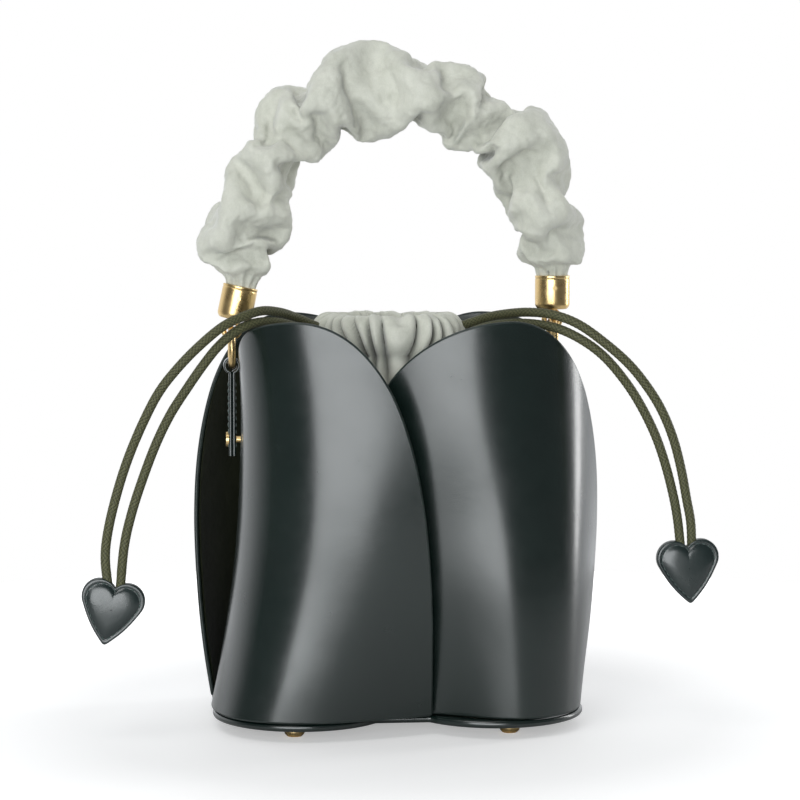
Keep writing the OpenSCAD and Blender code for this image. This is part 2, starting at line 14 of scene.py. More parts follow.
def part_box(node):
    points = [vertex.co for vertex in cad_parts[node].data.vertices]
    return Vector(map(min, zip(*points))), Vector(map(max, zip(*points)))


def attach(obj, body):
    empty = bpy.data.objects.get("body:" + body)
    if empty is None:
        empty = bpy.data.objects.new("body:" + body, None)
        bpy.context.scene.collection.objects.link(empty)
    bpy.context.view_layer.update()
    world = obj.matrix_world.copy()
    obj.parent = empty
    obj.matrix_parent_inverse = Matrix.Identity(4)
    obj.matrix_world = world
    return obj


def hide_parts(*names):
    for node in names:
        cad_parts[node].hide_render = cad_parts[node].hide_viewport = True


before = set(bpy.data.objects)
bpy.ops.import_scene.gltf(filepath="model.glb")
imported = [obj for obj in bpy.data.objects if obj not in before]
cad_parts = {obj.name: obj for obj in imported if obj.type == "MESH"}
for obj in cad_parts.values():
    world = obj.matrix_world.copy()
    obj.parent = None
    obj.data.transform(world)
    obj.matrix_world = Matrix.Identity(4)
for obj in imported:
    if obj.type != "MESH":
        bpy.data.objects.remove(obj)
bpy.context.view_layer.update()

MM = 0.001
scene = bpy.context.scene


# ---------- sizes shared with the CAD model, in millimetres ----------

LOBE_X, LOBE_Y, LOBE_R = 43, 19, 38
FRONT_Y = -LOBE_Y - LOBE_R
SIDE_X = LOBE_X + LOBE_R
NOTCH_Y = FRONT_Y + 15
PETAL_TOP = 180
PETAL_FLARE = 20
MID_IN = 11
LEATHER_T = 1.8
LINING_T = 0.6
BASE_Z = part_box("base_cover")[0].z / MM
BASE_T = 3.2
BASE_RIM = 1
PETAL_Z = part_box("petal_front_left")[0].z / MM
PETAL_MID = PETAL_Z + (PETAL_TOP - PETAL_Z) * 0.6
PEAK_AT, LAST_AT = 3, 5
OUTLINE_POWER = 3.3 / 2

POUCH_X = -3
POUCH_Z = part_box("pouch")[0].z / MM
POUCH_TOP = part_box("pouch_casing")[1].z / MM
CASING_Z = POUCH_TOP - 18
CASING_R = 34

CORD_D = 4
HEART_W = 27
HEART_EDGE = 7.1

RING_R = 8
RING_WIRE = 3.2
LEFT_RING = (-SIDE_X + 8.5, PETAL_TOP - 13.5)
RIGHT_RING = (SIDE_X - 10, PETAL_TOP - 9.5)
EYE_WIRE = 2.4
EYE_R = RING_WIRE / 2 + 0.8 + EYE_WIRE / 2
FERRULE_RISE = EYE_R + 1
FERRULE_D, FERRULE_L = 15.5, 15
FERRULE_BORE, FERRULE_FLOOR = 8.3, 3
LEFT_LEAN, RIGHT_LEAN = math.radians(12), 0.0
ARCH_X, ARCH_W, ARCH_H = 1, 68.5, 76
SPRING_Z = PETAL_TOP + 25
TAB_W, TAB_T, TAB_FOOT, TAB_BORE = 8, 1.5, 40, 2.3
# Half the gap between the two layers of a folded ring tab
TAB_GAP = 0.02

LEFT_HEART, LEFT_HEART_LEAN = (-125.5, -52, 57), math.radians(12)
RIGHT_HEART, RIGHT_HEART_LEAN = (123, -52, 71.5), math.radians(-4)

LEFT_OUTER_ROUTE = [
    (-35, -8, 176), (-45, -16, 180.5), (-52, -24, 183), (-60, -33, 184), (-68, -40, 182),
    (-77, -45, 178), (-87, -48, 170), (-96, -50, 161), (-104, -51, 151), (-110.5, -52, 139),
    (-117, -52, 124), (-122, -52, 109), (-126, -52, 93), (-127.5, -52, 80), (-126, -52, 65),
]
LEFT_INNER_ROUTE = [
    (-34, -13, 171.5), (-45, -21, 176.5), (-54, -29, 179), (-63, -36, 179), (-71, -41, 176),
    (-79, -44, 169.5), (-86, -46, 161), (-93, -47, 151), (-99.5, -48, 141), (-105.5, -49, 129),
    (-111, -50, 115), (-116, -51, 100), (-119.5, -52, 85), (-121.5, -52, 65),
]
RIGHT_OUTER_ROUTE = [
    (29, -8, 176), (39, -16, 180), (47, -24, 182), (56, -33, 183), (66, -40, 182),
    (76, -45, 178), (87, -48, 170), (97, -50, 161), (105, -51, 151), (111, -52, 141),
    (116, -52, 129), (119.5, -52, 116), (122, -52, 103), (124, -52, 92), (124.5, -52, 78),
]
RIGHT_INNER_ROUTE = [
    (28, -13, 171.5), (38, -21, 176), (48, -29, 178), (58, -35, 178), (68, -40, 176),
    (78, -44, 171), (87, -46, 164), (95.5, -47, 154), (102, -48, 144), (108, -49, 132),
    (112, -50, 121), (115.5, -51, 108), (118, -52, 95), (120, -52, 78),
]


# ---------- camera ----------

CAMERA_DISTANCE, CAMERA_HEIGHT = 1.09, 0.226
CAMERA_AZIMUTH, CAMERA_DIP = math.radians(-5), math.radians(4.375)

camera_data = bpy.data.cameras.new("camera")
camera_data.lens = 110
camera_data.shift_x = 0.0069
camera = bpy.data.objects.new("camera", camera_data)
camera.location = (
    CAMERA_DISTANCE * math.sin(CAMERA_AZIMUTH),
    -CAMERA_DISTANCE * math.cos(CAMERA_AZIMUTH),
    CAMERA_HEIGHT,
)
camera.rotation_euler = (math.pi / 2 - CAMERA_DIP, 0, CAMERA_AZIMUTH)
scene.collection.objects.link(camera)
scene.camera = camera


# ---------- materials ----------

def add_node(tree, kind, inputs=None, **settings):
    """A shader node whose inputs are set to values or linked from other nodes' sockets"""
    made = tree.nodes.new("ShaderNode" + kind)
    for key, value in settings.items():
        setattr(made, key, value)
    for key, value in (inputs or {}).items():
        if isinstance(value, bpy.types.NodeSocket):
            tree.links.new(value, made.inputs[key])
        else:
            made.inputs[key].default_value = value
    return made


class Finish:
    """A Principled material, with short calls that add nodes and join them"""

    def __init__(self, name, **sockets):
        self.material = bpy.data.materials.new(name)
        self.material.use_nodes = True
        self.tree = self.material.node_tree
        self.shader = self.tree.nodes["Principled BSDF"]
        self.place = self.node("TexCoord").outputs["Object"]
        for socket, value in sockets.items():
            self.shader.inputs[socket.replace("_", " ")].default_value = value

    def node(self, kind, inputs=None, **settings):
        return add_node(self.tree, kind, inputs, **settings)

    def noise(self, scale, detail=3.0, roughness=0.5, stretch=(1, 1, 1)):
        place = self.node("Mapping", {"Vector": self.place, "Scale": stretch}).outputs[0]
        inputs = {"Vector": place, "Scale": scale, "Detail": detail, "Roughness": roughness}
        return self.node("TexNoise", inputs).outputs["Fac"]

    def cells(self, scale):
        inputs = {"Vector": self.place, "Scale": scale}
        return self.node("TexVoronoi", inputs, feature="SMOOTH_F1").outputs["Distance"]

    def ramp(self, source, *stops):
        made = self.node("ValToRGB", {"Fac": source})
        elements = made.color_ramp.elements
        while len(elements) < len(stops):
            elements.new(0.5)
        for element, (position, colour) in zip(elements, stops):
            element.position = position
            grey = isinstance(colour, (int, float))
            element.color = (colour,) * 3 + (1,) if grey else tuple(colour) + (1,)
        return made.outputs["Color"]

    def maths(self, operation, a, b):
        return self.node("Math", {0: a, 1: b}, operation=operation).outputs[0]

    def blend(self, share, a, b, how="MIX"):
        return self.node("MixRGB", {0: share, 1: a, 2: b}, blend_type=how).outputs[0]

    def bump(self, height, strength, distance, normal=None):
        inputs = {"Height": height, "Strength": strength, "Distance": distance}
        if normal is not None:
            inputs["Normal"] = normal
        return self.node("Bump", inputs).outputs["Normal"]

    def join(self, **sockets):
        for socket, source in sockets.items():
            self.tree.links.new(source, self.shader.inputs[socket.replace("_", " ")])
        return self.material


def polished_leather(name, deep, light, smooth, dull):
    """Glossy calf: cloudy dye, a fine pore grain and a faint uneven polish"""
    f = Finish(name, Specular_IOR_Level=0.8, Coat_Weight=0.35, Coat_Roughness=0.16)
    cloud = f.noise(26, detail=5, roughness=0.6)
    speck = f.noise(900, detail=2)
    dye = f.ramp(cloud, (0.32, deep), (0.7, light))
    dye = f.blend(0.18, dye, f.ramp(speck, (0.4, deep), (0.62, light)))
    polish = f.ramp(f.noise(75, detail=6, roughness=0.65), (0.3, smooth), (0.72, dull))
    pores = f.cells(2300)
    grain = f.bump(pores, 0.09, 0.0002)
    creases = f.bump(f.noise(190, detail=5, roughness=0.6), 0.05, 0.0006, grain)
    return f.join(Base_Color=dye, Roughness=polish, Normal=creases)


def napped_suede(name, shade, light, nap=0.6):
    """Suede: short nap brushed into lighter and darker patches over a fibrous bump, with painted
    shade darkening its creases
    """
    f = Finish(name, Sheen_Weight=nap, Sheen_Roughness=0.45, Specular_IOR_Level=0.15)
    brushed = f.noise(130, detail=6, roughness=0.62, stretch=(1, 1, 0.55))
    fleck = f.noise(1700, detail=4, roughness=0.7)
    colour = f.ramp(brushed, (0.33, shade), (0.66, light))
    colour = f.blend(0.3, colour, f.ramp(fleck, (0.36, shade), (0.62, light)))
    # Painted shade: the ambient-occlusion factor darkens the colour in creases and folds, multiplied
    # in below
    painted_shade_ao = f.node("AmbientOcclusion", {"Distance": 0.011}, samples=6, only_local=True)
    creases = f.ramp(painted_shade_ao.outputs["AO"], (0.12, 0.22), (0.42, 0.62), (0.78, 1.0))
    colour = f.blend(1.0, colour, creases, "MULTIPLY")
    roughness = f.ramp(f.noise(300, detail=3), (0.3, 0.82), (0.7, 0.96))
    fibres = f.bump(f.noise(2600, detail=4, roughness=0.75), 0.5, 0.0003)
    pile = f.bump(f.noise(480, detail=5, roughness=0.65), 0.4, 0.0006, fibres)
    return f.join(Base_Color=colour, Roughness=roughness, Normal=pile)


def plated_gold(name):
    """Polished gold plating with hairline scratches and a slightly uneven shine"""
    f = Finish(name, Metallic=1.0)
    tone = f.ramp(f.noise(60, detail=4), (0.3, (0.80, 0.56, 0.24)), (0.7, (0.90, 0.67, 0.34)))
    hairs = f.noise(700, detail=5, roughness=0.7, stretch=(1, 1, 0.06))
    shine = f.ramp(f.noise(240, detail=5), (0.3, 0.24), (0.72, 0.36))
    return f.join(Base_Color=tone, Roughness=shine, Normal=f.bump(hairs, 0.06, 0.0001))


def painted_edge(name, deep, light):
    """Edge paint: thick, rounded and slightly beaded"""
    f = Finish(name, Specular_IOR_Level=0.5)
    tone = f.ramp(f.noise(140, detail=4), (0.35, deep), (0.7, light))
    gloss = f.ramp(f.noise(320, detail=4), (0.3, 0.3), (0.7, 0.46))
    return f.join(Base_Color=tone, Roughness=gloss, Normal=f.bump(f.noise(520), 0.14, 0.0003))


def braided_cord(name):
    """Waxed braid: painted light on each plait's crown and painted shade in the gaps, from the mesh's
    own relief
    """
    f = Finish(name, Specular_IOR_Level=0.35, Sheen_Weight=0.06)
    relief = f.node("Attribute", attribute_name="relief").outputs["Fac"]
    # Painted light and shade: the colour goes from near black in the gaps between plaits to light on
    # their crowns
    painted_plait_shade = f.ramp(relief, (0.15, (0.004, 0.005, 0.002)), (0.6, (0.045, 0.047, 0.020)),
                  (0.98, (0.145, 0.148, 0.070)))
    fleck = f.ramp(f.noise(2400, detail=3), (0.35, (0.03, 0.032, 0.013)), (0.65, (0.12, 0.12, 0.058)))
    colour = f.blend(0.3, painted_plait_shade, fleck)
    rough = f.ramp(f.noise(900), (0.3, 0.5), (0.7, 0.72))
    return f.join(Base_Color=colour, Roughness=rough, Normal=f.bump(f.noise(4200), 0.25, 0.0002))


def twisted_thread(name, deep, light):
    """Waxed sewing thread with a fine twist"""
    f = Finish(name, Specular_IOR_Level=0.4, Sheen_Weight=0.2)
    wave = f.node("TexWave", {"Vector": f.place, "Scale": 900, "Distortion": 2.0}).outputs["Fac"]
    tone = f.ramp(wave, (0.2, deep), (0.8, light))
    rough = f.ramp(f.noise(1500), (0.3, 0.45), (0.7, 0.65))
    return f.join(Base_Color=tone, Roughness=rough, Normal=f.bump(wave, 0.3, 0.0002))


def fibre_board(name, deep, light, scale):
    """Pressed fibres, for the hidden board and the rope core"""
    f = Finish(name, Specular_IOR_Level=0.2)
    fibres = f.noise(scale, detail=6, roughness=0.7, stretch=(1, 0.4, 1))
    tone = f.ramp(fibres, (0.3, deep), (0.7, light))
    rough = f.ramp(f.noise(scale / 3), (0.3, 0.8), (0.7, 0.95))
    return f.join(Base_Color=tone, Roughness=rough, Normal=f.bump(fibres, 0.3, 0.0003))


PETAL_LEATHER = polished_leather("petal_leather", (0.0030, 0.0095, 0.0080),
                                 (0.0055, 0.0145, 0.0120), 0.21, 0.28)
HEART_LEATHER = polished_leather("heart_leather", (0.0055, 0.0140, 0.0135),
                                 (0.0100, 0.0215, 0.0205), 0.24, 0.34)
LINING_LEATHER = napped_suede("lining_leather", (0.008, 0.0105, 0.004), (0.018, 0.021, 0.010), 0.06)
EDGE_PAINT = painted_edge("edge_paint", (0.014, 0.022, 0.020), (0.030, 0.042, 0.038))
SUEDE = napped_suede("suede", (0.60, 0.61, 0.525), (0.77, 0.775, 0.69))
GOLD = plated_gold("gold_plate")
CORD = braided_cord("cord_braid")
THREAD = twisted_thread("thread_dark", (0.035, 0.055, 0.052), (0.10, 0.14, 0.13))
BOARD = fibre_board("grey_board", (0.30, 0.25, 0.18), (0.46, 0.40, 0.30), 500)
ROPE = fibre_board("rope", (0.60, 0.56, 0.46), (0.78, 0.74, 0.64), 700)


# ---------- mesh helpers: a shape is a pair (points, faces) in millimetres ----------

THREAD_SIDES, THREAD_RINGS = 8, 7


def grid(points, wrap_rows=False, wrap_cols=False, flip=False):
    """Quads over an array of points of shape (rows, cols, 3)"""
    rows, cols = points.shape[:2]
    index = np.arange(rows * cols).reshape(rows, cols)
    if wrap_rows:
        index = np.vstack([index, index[:1]])
    if wrap_cols:
        index = np.hstack([index, index[:, :1]])
    a, b, c, d = index[:-1, :-1], index[1:, :-1], index[1:, 1:], index[:-1, 1:]
    faces = np.stack([a, d, c, b] if flip else [a, b, c, d], -1).reshape(-1, 4)
    return points.reshape(-1, 3), faces.tolist()


def full_turn(count):
    """Even angles round a circle, from zero"""
    return np.linspace(0, 2 * math.pi, count, endpoint=False)


def unit(vectors):
    return vectors / np.linalg.norm(vectors, axis=-1)[..., None]


def rings_round(path, sides, ups, radius, turns):
    """Ring of points round each point of a path; the radius has a row for each ring"""
    way = (np.cos(turns)[None, :, None] * sides[:, None, :]
           + np.sin(turns)[None, :, None] * ups[:, None, :])
    return path[:, None, :] + radius[:, :, None] * way


def capped_tube(rings, flip=False):
    """Tube over rings of points, with a flat cap at each end"""
    points, faces = grid(rings, wrap_cols=True, flip=flip)
    sides = rings.shape[1]
    first, last = list(range(sides)), list(range(len(points) - sides, len(points)))
    faces += [first, last[::-1]] if flip else [first[::-1], last]
    return points, faces


def joined(*shapes):
    """One shape of several, which stay apart inside it"""
    points, faces, start = [], [], 0
    for shape_points, shape_faces in shapes:
        points.append(np.asarray(shape_points, float))
        faces += [[i + start for i in face] for face in shape_faces]
        start += len(shape_points)
    return np.vstack(points), faces


def lathe(profile, steps, closed=False):
    """Profile of (radius, height) points turned about Z; closed joins its end to its start"""
    turns = full_turn(steps)
    r, z = np.array(profile, float).T
    rings = np.stack([
        r[:, None] * np.cos(turns), r[:, None] * np.sin(turns), np.repeat(z[:, None], steps, 1)
    ], -1)
    return grid(rings, wrap_rows=closed, wrap_cols=True, flip=True)


def rounded_profile(corners):
    """(radius, height, fillet) corners joined into a profile with round corners"""
    out = []
    for i, (r, z, fillet) in enumerate(corners):
        here = np.array([r, z], float)
        if fillet == 0:
            out.append(here)
            continue
        before = np.array(corners[i - 1][:2], float) - here
        after = np.array(corners[i + 1][:2], float) - here
        start = here + before / np.linalg.norm(before) * fillet
        end = here + after / np.linalg.norm(after) * fillet
        for f in [k / 6 for k in range(7)]:
            out.append((1 - f) ** 2 * start + 2 * f * (1 - f) * here + f * f * end)
    return out


def torus(radius, wire, steps, sides):
    """Ring about Z, with the radius of its wire's centre line and the wire's thickness"""
    turns = full_turn(sides)
    profile = np.column_stack([radius + wire / 2 * np.cos(turns), wire / 2 * np.sin(turns)])
    return lathe(profile, steps, closed=True)


def turned(shape, axis, angle):
    """The shape turned about a main axis through the origin (0 is X, 1 is Y, 2 is Z)"""
    points, faces = shape
    c, s = math.cos(angle), math.sin(angle)
    a, b = [(1, 2), (2, 0), (0, 1)][axis]
    out = np.array(points, float)
    out[:, a] = c * points[:, a] - s * points[:, b]
    out[:, b] = s * points[:, a] + c * points[:, b]
    return out, faces


def moved(shape, offset):
    return np.asarray(shape[0], float) + np.asarray(offset, float), shape[1]


def frames_along(path):
    """Two unit normals at each point of a path, turned as little as possible"""
    tangents = unit(np.gradient(path, axis=0))
    side = np.cross(tangents[0], (0, 1, 0))
    if np.linalg.norm(side) < 0.1:
        side = np.cross(tangents[0], (1, 0, 0))
    sides = []
    for t in tangents:
        side = side - t * np.dot(side, t)
        side /= np.linalg.norm(side)
        sides.append(side)
    sides = np.array(sides)
    return sides, np.cross(tangents, sides)


def smooth_path(points, per_span):
    """Catmull-Rom curve through the points"""
    p = np.asarray(points, float)
    p = np.vstack([2 * p[0] - p[1], p, 2 * p[-1] - p[-2]])
    out = []
    for i in range(1, len(p) - 2):
        a, b, c, d = p[i - 1:i + 3]
        for k in range(per_span):
            f = k / per_span
            out.append(0.5 * (2 * b + (c - a) * f + (2 * a - 5 * b + 4 * c - d) * f * f
                              + (3 * b - a - 3 * c + d) * f ** 3))
    out.append(p[-2])
    return np.array(out)


def lengths_along(path):
    """Length of the path up to each of its points"""
    return np.r_[0, np.cumsum(np.linalg.norm(np.diff(path, axis=0), axis=1))]


def sample(values, lengths, at):
    """Values given at some lengths along a path, read at other lengths"""
    return np.stack([np.interp(at, lengths, values[:, k]) for k in range(3)], -1)


def evenly(path, step):
    """The path again, with its points a fixed step apart"""
    lengths = lengths_along(path)
    count = max(2, int(round(lengths[-1] / step)) + 1)
    return sample(path, lengths, np.linspace(0, lengths[-1], count))


def path_length(path):
    return float(np.linalg.norm(np.diff(path, axis=0), axis=1).sum())


def stitches(path, outward, stitch, gap, thread=0.55, sink=0.1):
    """Threads laid end to end along a path, each a small pinched capsule half sunk"""
    path = np.asarray(path, float)
    lengths = lengths_along(path)
    count = int(lengths[-1] / (stitch + gap))
    pitch = lengths[-1] / count
    outward = np.broadcast_to(np.asarray(outward, float), path.shape)
    turns = full_turn(THREAD_SIDES)
    # from -1 to 1 along one thread: it thins at both ends, where it dives into its hole
    share = np.linspace(-1, 1, THREAD_RINGS)
    radius = thread / 2 * np.sqrt(np.clip(1 - np.abs(share) ** 4, 0.04, 1))
    lift = thread * (0.32 - 0.62 * share ** 2) - sink
    shapes = []
    for n in range(count):
        at = n * pitch + gap / 2 + stitch * np.linspace(0, 1, THREAD_RINGS)
        centre = sample(path, lengths, at)
        up = sample(outward, lengths, at)
        across = np.cross(unit(np.gradient(centre, axis=0)), up)
        middle = centre + up * lift[:, None]
        shapes.append(capped_tube(rings_round(middle, across, up, radius[:, None], turns)))
    return joined(*shapes)


def add_mesh(name, points, faces):
    """A mesh object in the scene, from lists of points and faces"""
    mesh = bpy.data.meshes.new(name)
    mesh.from_pydata(points, [], faces)
    made = bpy.data.objects.new(name, mesh)
    scene.collection.objects.link(made)
    return made


def make_piece(name, shape, body, finishes, replaces=(), sharp=None, face_finish=None):
    """A smooth mesh object from a shape, riding on a body and standing for CAD nodes"""
    points, faces = shape
    piece = add_mesh(name, (points * MM).tolist(), faces)
    mesh = piece.data
    for finish in finishes:
        mesh.materials.append(finish)
    if face_finish is not None:
        mesh.polygons.foreach_set("material_index", face_finish)
    mesh.shade_smooth()
    if sharp is not None:
        mesh.set_sharp_from_angle(angle=math.radians(sharp))
    mesh.update()
    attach(piece, body)
    if replaces:
        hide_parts(*replaces)
    return piece


def outline_of(inside, centre, count, reach):
    """Outline of a shape seen from a point inside it: the last distance that is inside"""
    out = []
    for turn in full_turn(count):
        way = np.array([math.cos(turn), math.sin(turn)])
        low, high = 0.0, reach
        for _ in range(30):
            middle = (low + high) / 2
            if inside(centre + way * middle):
                low = middle
            else:
                high = middle
        out.append(centre + way * low)
    return np.array(out)


def rest_finish(node, finish):
    """Gives a carried-over CAD node its finish"""
    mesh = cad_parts[node].data
    mesh.materials.clear()
    mesh.materials.append(finish)


# ---------- cords ----------

BRAID_STRANDS = 7
BRAID_SIDES = 42
BRAID_STEP = 0.42
BRAID_SLANT = 0.9


def braided_tube(path, diameter):
    """Tube whose skin is a braid of flat plaits; returns the shape and its relief"""
    path = evenly(path, BRAID_STEP)
    sides, ups = frames_along(path)
    turn = np.linspace(0, 1, BRAID_SIDES, endpoint=False)
    run = np.arange(len(path)) * BRAID_STEP / (math.pi * diameter) * BRAID_SLANT
    p = BRAID_STRANDS * (turn[None, :] + run[:, None])
    q = BRAID_STRANDS * (turn[None, :] - run[:, None])
    over = (np.floor(p) + np.floor(q)) % 2 == 0
    relief = np.where(over, np.abs(np.sin(math.pi * p)), np.abs(np.sin(math.pi * q))) ** 0.6
    radius = diameter / 2 * (0.90 + 0.12 * relief)
    rings = rings_round(path, sides, ups, radius, 2 * math.pi * turn)
    return capped_tube(rings), relief.reshape(-1)


def drawcord(name, route):
    """A braided cord along its route, held by the heart at its far end"""
    path = smooth_path(route, 8)
    shape, relief = braided_tube(path, CORD_D)
    cord = make_piece(name + "_braid", shape, "bag", [CORD], [name])
    layer = cord.data.attributes.new("relief", "FLOAT", "POINT")
    layer.data.foreach_set("value", relief)


# ---------- hearts ----------

HEART_STITCH_AT = 0.85
HEART_MIDDLE = np.array([0.0, 1.5])
# Share of the outline, and height of the face there: edge, sewn margin, puffed middle
HEART_PROFILE = [
    (1.0, 0.0), (1.0, 0.42), (0.992, 0.56), (0.972, 0.64), (0.94, 0.66), (0.885, 0.66),
    (0.865, 0.62), (0.85, 0.59), (0.835, 0.62), (0.80, 0.72), (0.74, 0.84), (0.64, 0.94),
    (0.5, 1.0), (0.34, 1.03), (0.17, 1.05), (0.02, 1.05),
]
PAINTED_RINGS = 2


def heart_outline():
    """Two round lobes, each drawn down to a small round tip"""
    lobe_r = HEART_W * 0.28
    tip_r = 1.5
    lobe = np.array([HEART_W / 2 - lobe_r, HEART_W * 0.23])
    tip = np.array([0, -HEART_W * 0.51 + tip_r])

    def inside(p):
        q = np.array([abs(p[0]), p[1]])
        best = 0.0
        for share in np.linspace(0, 1, 24):
            centre = tip + (lobe - tip) * share
            bulge = math.sin(math.pi * share) * 0.9
            radius = tip_r + (lobe_r - tip_r) * share + bulge
            best = max(best, radius - np.linalg.norm(q - centre))
        return best > 0

    return outline_of(inside, HEART_MIDDLE, 160, HEART_W)


def heart_charm(name, at, lean, nodes):
    """A padded leather heart with a painted edge and a sewn line on both faces"""
    outline = heart_outline()
    centre = HEART_MIDDLE
    half = HEART_EDGE / 2
    rings = []
    turns = full_turn(len(outline))
    oval = centre + np.column_stack([HEART_W * 0.40 * np.cos(turns), HEART_W * 0.36 * np.sin(turns)])
    for share, height in HEART_PROFILE:
        rounder = 0.8 * min(1, max(0, (0.86 - share) / 0.5))
        ring = centre + ((outline - centre) * (1 - rounder) + (oval - centre) * rounder) * share
        rings.append(np.column_stack([ring[:, 0], np.full(len(ring), -half * height), ring[:, 1]]))
    front = np.array(rings)
    back = front.copy()
    back[:, :, 1] *= -1
    halves = joined(grid(front, wrap_cols=True, flip=True), grid(back, wrap_cols=True))
    painted = PAINTED_RINGS * len(outline)
    per_side = (len(HEART_PROFILE) - 1) * len(outline)
    finish = ([1] * painted + [0] * (per_side - painted)) * 2
    charm = make_piece(name, moved(turned(halves, 1, lean), at), "bag",
                       [HEART_LEATHER, EDGE_PAINT], nodes, face_finish=finish)
    seam = centre + (outline - centre) * HEART_STITCH_AT
    loop = np.vstack([seam, seam[:1]])
    threads = []
    for side in (-1, 1):
        path = np.column_stack([loop[:, 0], np.full(len(loop), side * half * 0.6), loop[:, 1]])
        threads.append(stitches(path, (0, side, 0), stitch=1.9, gap=0.8, thread=0.5, sink=0.02))
    shape = moved(turned(joined(*threads), 1, lean), at)
    make_piece(name + "_thread", shape, "bag", [THREAD])
    return charm


left_heart = heart_charm("heart_left_charm", LEFT_HEART, LEFT_HEART_LEAN,
                         ["heart_left_front", "heart_left_back", "heart_left_padding"])
right_heart = heart_charm("heart_right_charm", RIGHT_HEART, RIGHT_HEART_LEAN,
                          ["heart_right_front", "heart_right_back", "heart_right_padding"])
drawcord("drawcord_left_outer", LEFT_OUTER_ROUTE)
drawcord("drawcord_left_inner", LEFT_INNER_ROUTE)
drawcord("drawcord_right_outer", RIGHT_OUTER_ROUTE)
drawcord("drawcord_right_inner", RIGHT_INNER_ROUTE)
rest_finish("drawcord_left_loop", CORD)
rest_finish("drawcord_right_loop", CORD)


# ---------- petals ----------

# Plan curves of the two kinds of petal at foot, middle and tip, from tucked to free edge
LONG_KIND = [
    [(-SIDE_X + 8, 14), (-SIDE_X - 4, -10), (-SIDE_X + 3, -46),
     (-LOBE_X - 8, FRONT_Y - 3), (-20, FRONT_Y + 0.5), (13, NOTCH_Y - 2)],
    [(-SIDE_X + MID_IN + 5, 14), (-SIDE_X + MID_IN, -12), (-SIDE_X + MID_IN + 4, -38),
     (-LOBE_X - 2, FRONT_Y + 1), (-20, NOTCH_Y - PETAL_FLARE), (12, NOTCH_Y - PETAL_FLARE + 2)],
    [(-SIDE_X + MID_IN + 5, 14), (-SIDE_X + MID_IN, -8), (-SIDE_X + 8, -38),
     (-LOBE_X - 4, FRONT_Y - 1), (-17, FRONT_Y - 4), (12, FRONT_Y - 2)],
]
WIDE_KIND = [
    [(-20, NOTCH_Y + 4.5), (-3, NOTCH_Y + 4), (20, NOTCH_Y + 1.5),
     (LOBE_X + 4, FRONT_Y - 5), (SIDE_X - 2, -45), (SIDE_X + 0.8, -8)],
    [(-26, NOTCH_Y + 4), (-6, NOTCH_Y), (19, NOTCH_Y - 10),
     (LOBE_X + 3, FRONT_Y + 1), (SIDE_X - 5, -46), (SIDE_X + PETAL_FLARE / 2, -10)],
    [(-30, NOTCH_Y + 4), (-8, NOTCH_Y - 4), (18, FRONT_Y),
     (LOBE_X + 3, FRONT_Y + 1), (SIDE_X - 9, -44), (SIDE_X + 7, -14)],
]


def spline(points, t):
    """Uniform cubic spline over plan points, which it meets at both ends"""
    p = np.vstack([2 * points[0] - points[1], points, 2 * points[-1] - points[-2]])
    i = int(min(max(math.floor(t), 0), len(points) - 2))
    f = t - i
    a, b, c, d = p[i:i + 4]
    return ((1 - f) ** 3 * a + (3 * f ** 3 - 6 * f * f + 4) * b
            + (3 * f + 3 * f * f - 3 * f ** 3 + 1) * c + f ** 3 * d) / 6


def plan_at(kind, z):
    """Plan curve at height z: the parabola in z through foot, middle and tip"""
    foot, middle, tip = kind
    low, mid, top = PETAL_Z, PETAL_MID, PETAL_TOP
    return (foot * (z - mid) * (z - top) / ((low - mid) * (low - top))
            + middle * (z - low) * (z - top) / ((mid - low) * (mid - top))
            + tip * (z - low) * (z - mid) / ((top - low) * (top - mid)))


def petal_grid(kind, back, shares_a, shares_b):
    """Points of a petal's middle surface and its outward directions"""
    kind = [np.array(curve, float) for curve in kind]
    middle = np.zeros((len(shares_a), len(shares_b), 3))
    outward = np.zeros_like(middle)
    for i, a in enumerate(shares_a):
        for j, b in enumerate(shares_b):
            width_share = a * math.sqrt(1 - b * b / 2)
            height_share = (b * math.sqrt(1 - a * a / 2)) ** (1 / OUTLINE_POWER)
            z = PETAL_Z + height_share * (PETAL_TOP - PETAL_Z)
            t = PEAK_AT + width_share * (LAST_AT - PEAK_AT if width_share > 0 else PEAK_AT)
            plan = plan_at(kind, z)
            here = spline(plan, t)
            run = spline(plan, min(t + 0.02, LAST_AT)) - spline(plan, max(t - 0.02, 0))
            side = np.array([run[1], -run[0]]) / np.linalg.norm(run)
            middle[i, j] = (here[0], here[1], z)
            outward[i, j] = (side[0], side[1], 0)
    wave = np.array([[noise.noise(Vector(p) / 46) for p in row] for row in middle])
    middle += outward * (0.45 * wave)[:, :, None]
    if back:
        middle[:, :, :2] *= -1
        outward[:, :, :2] *= -1
    return middle, outward


def rim_of(middle, outward, half):
    """Rounded edge all round a sheet: half circles from its outer to its inner face"""
    rows, cols = middle.shape[:2]
    order = ([(i, 0) for i in range(rows)] + [(rows - 1, j) for j in range(1, cols)]
             + [(i, cols - 1) for i in range(rows - 2, -1, -1)]
             + [(0, j) for j in range(cols - 2, 0, -1)])
    centre = np.array([middle[k] for k in order])
    normal = np.array([outward[k] for k in order])
    run = np.roll(centre, -1, 0) - np.roll(centre, 1, 0)
    away = unit(np.cross(run, normal))
    if np.dot(away[rows // 2], (0, 0, -1)) < 0:
        away *= -1
    rings = []
    for turn in np.linspace(0, math.pi, 9):
        rings.append(centre + half * (math.cos(turn) * normal + math.sin(turn) * away))
    return np.array(rings)


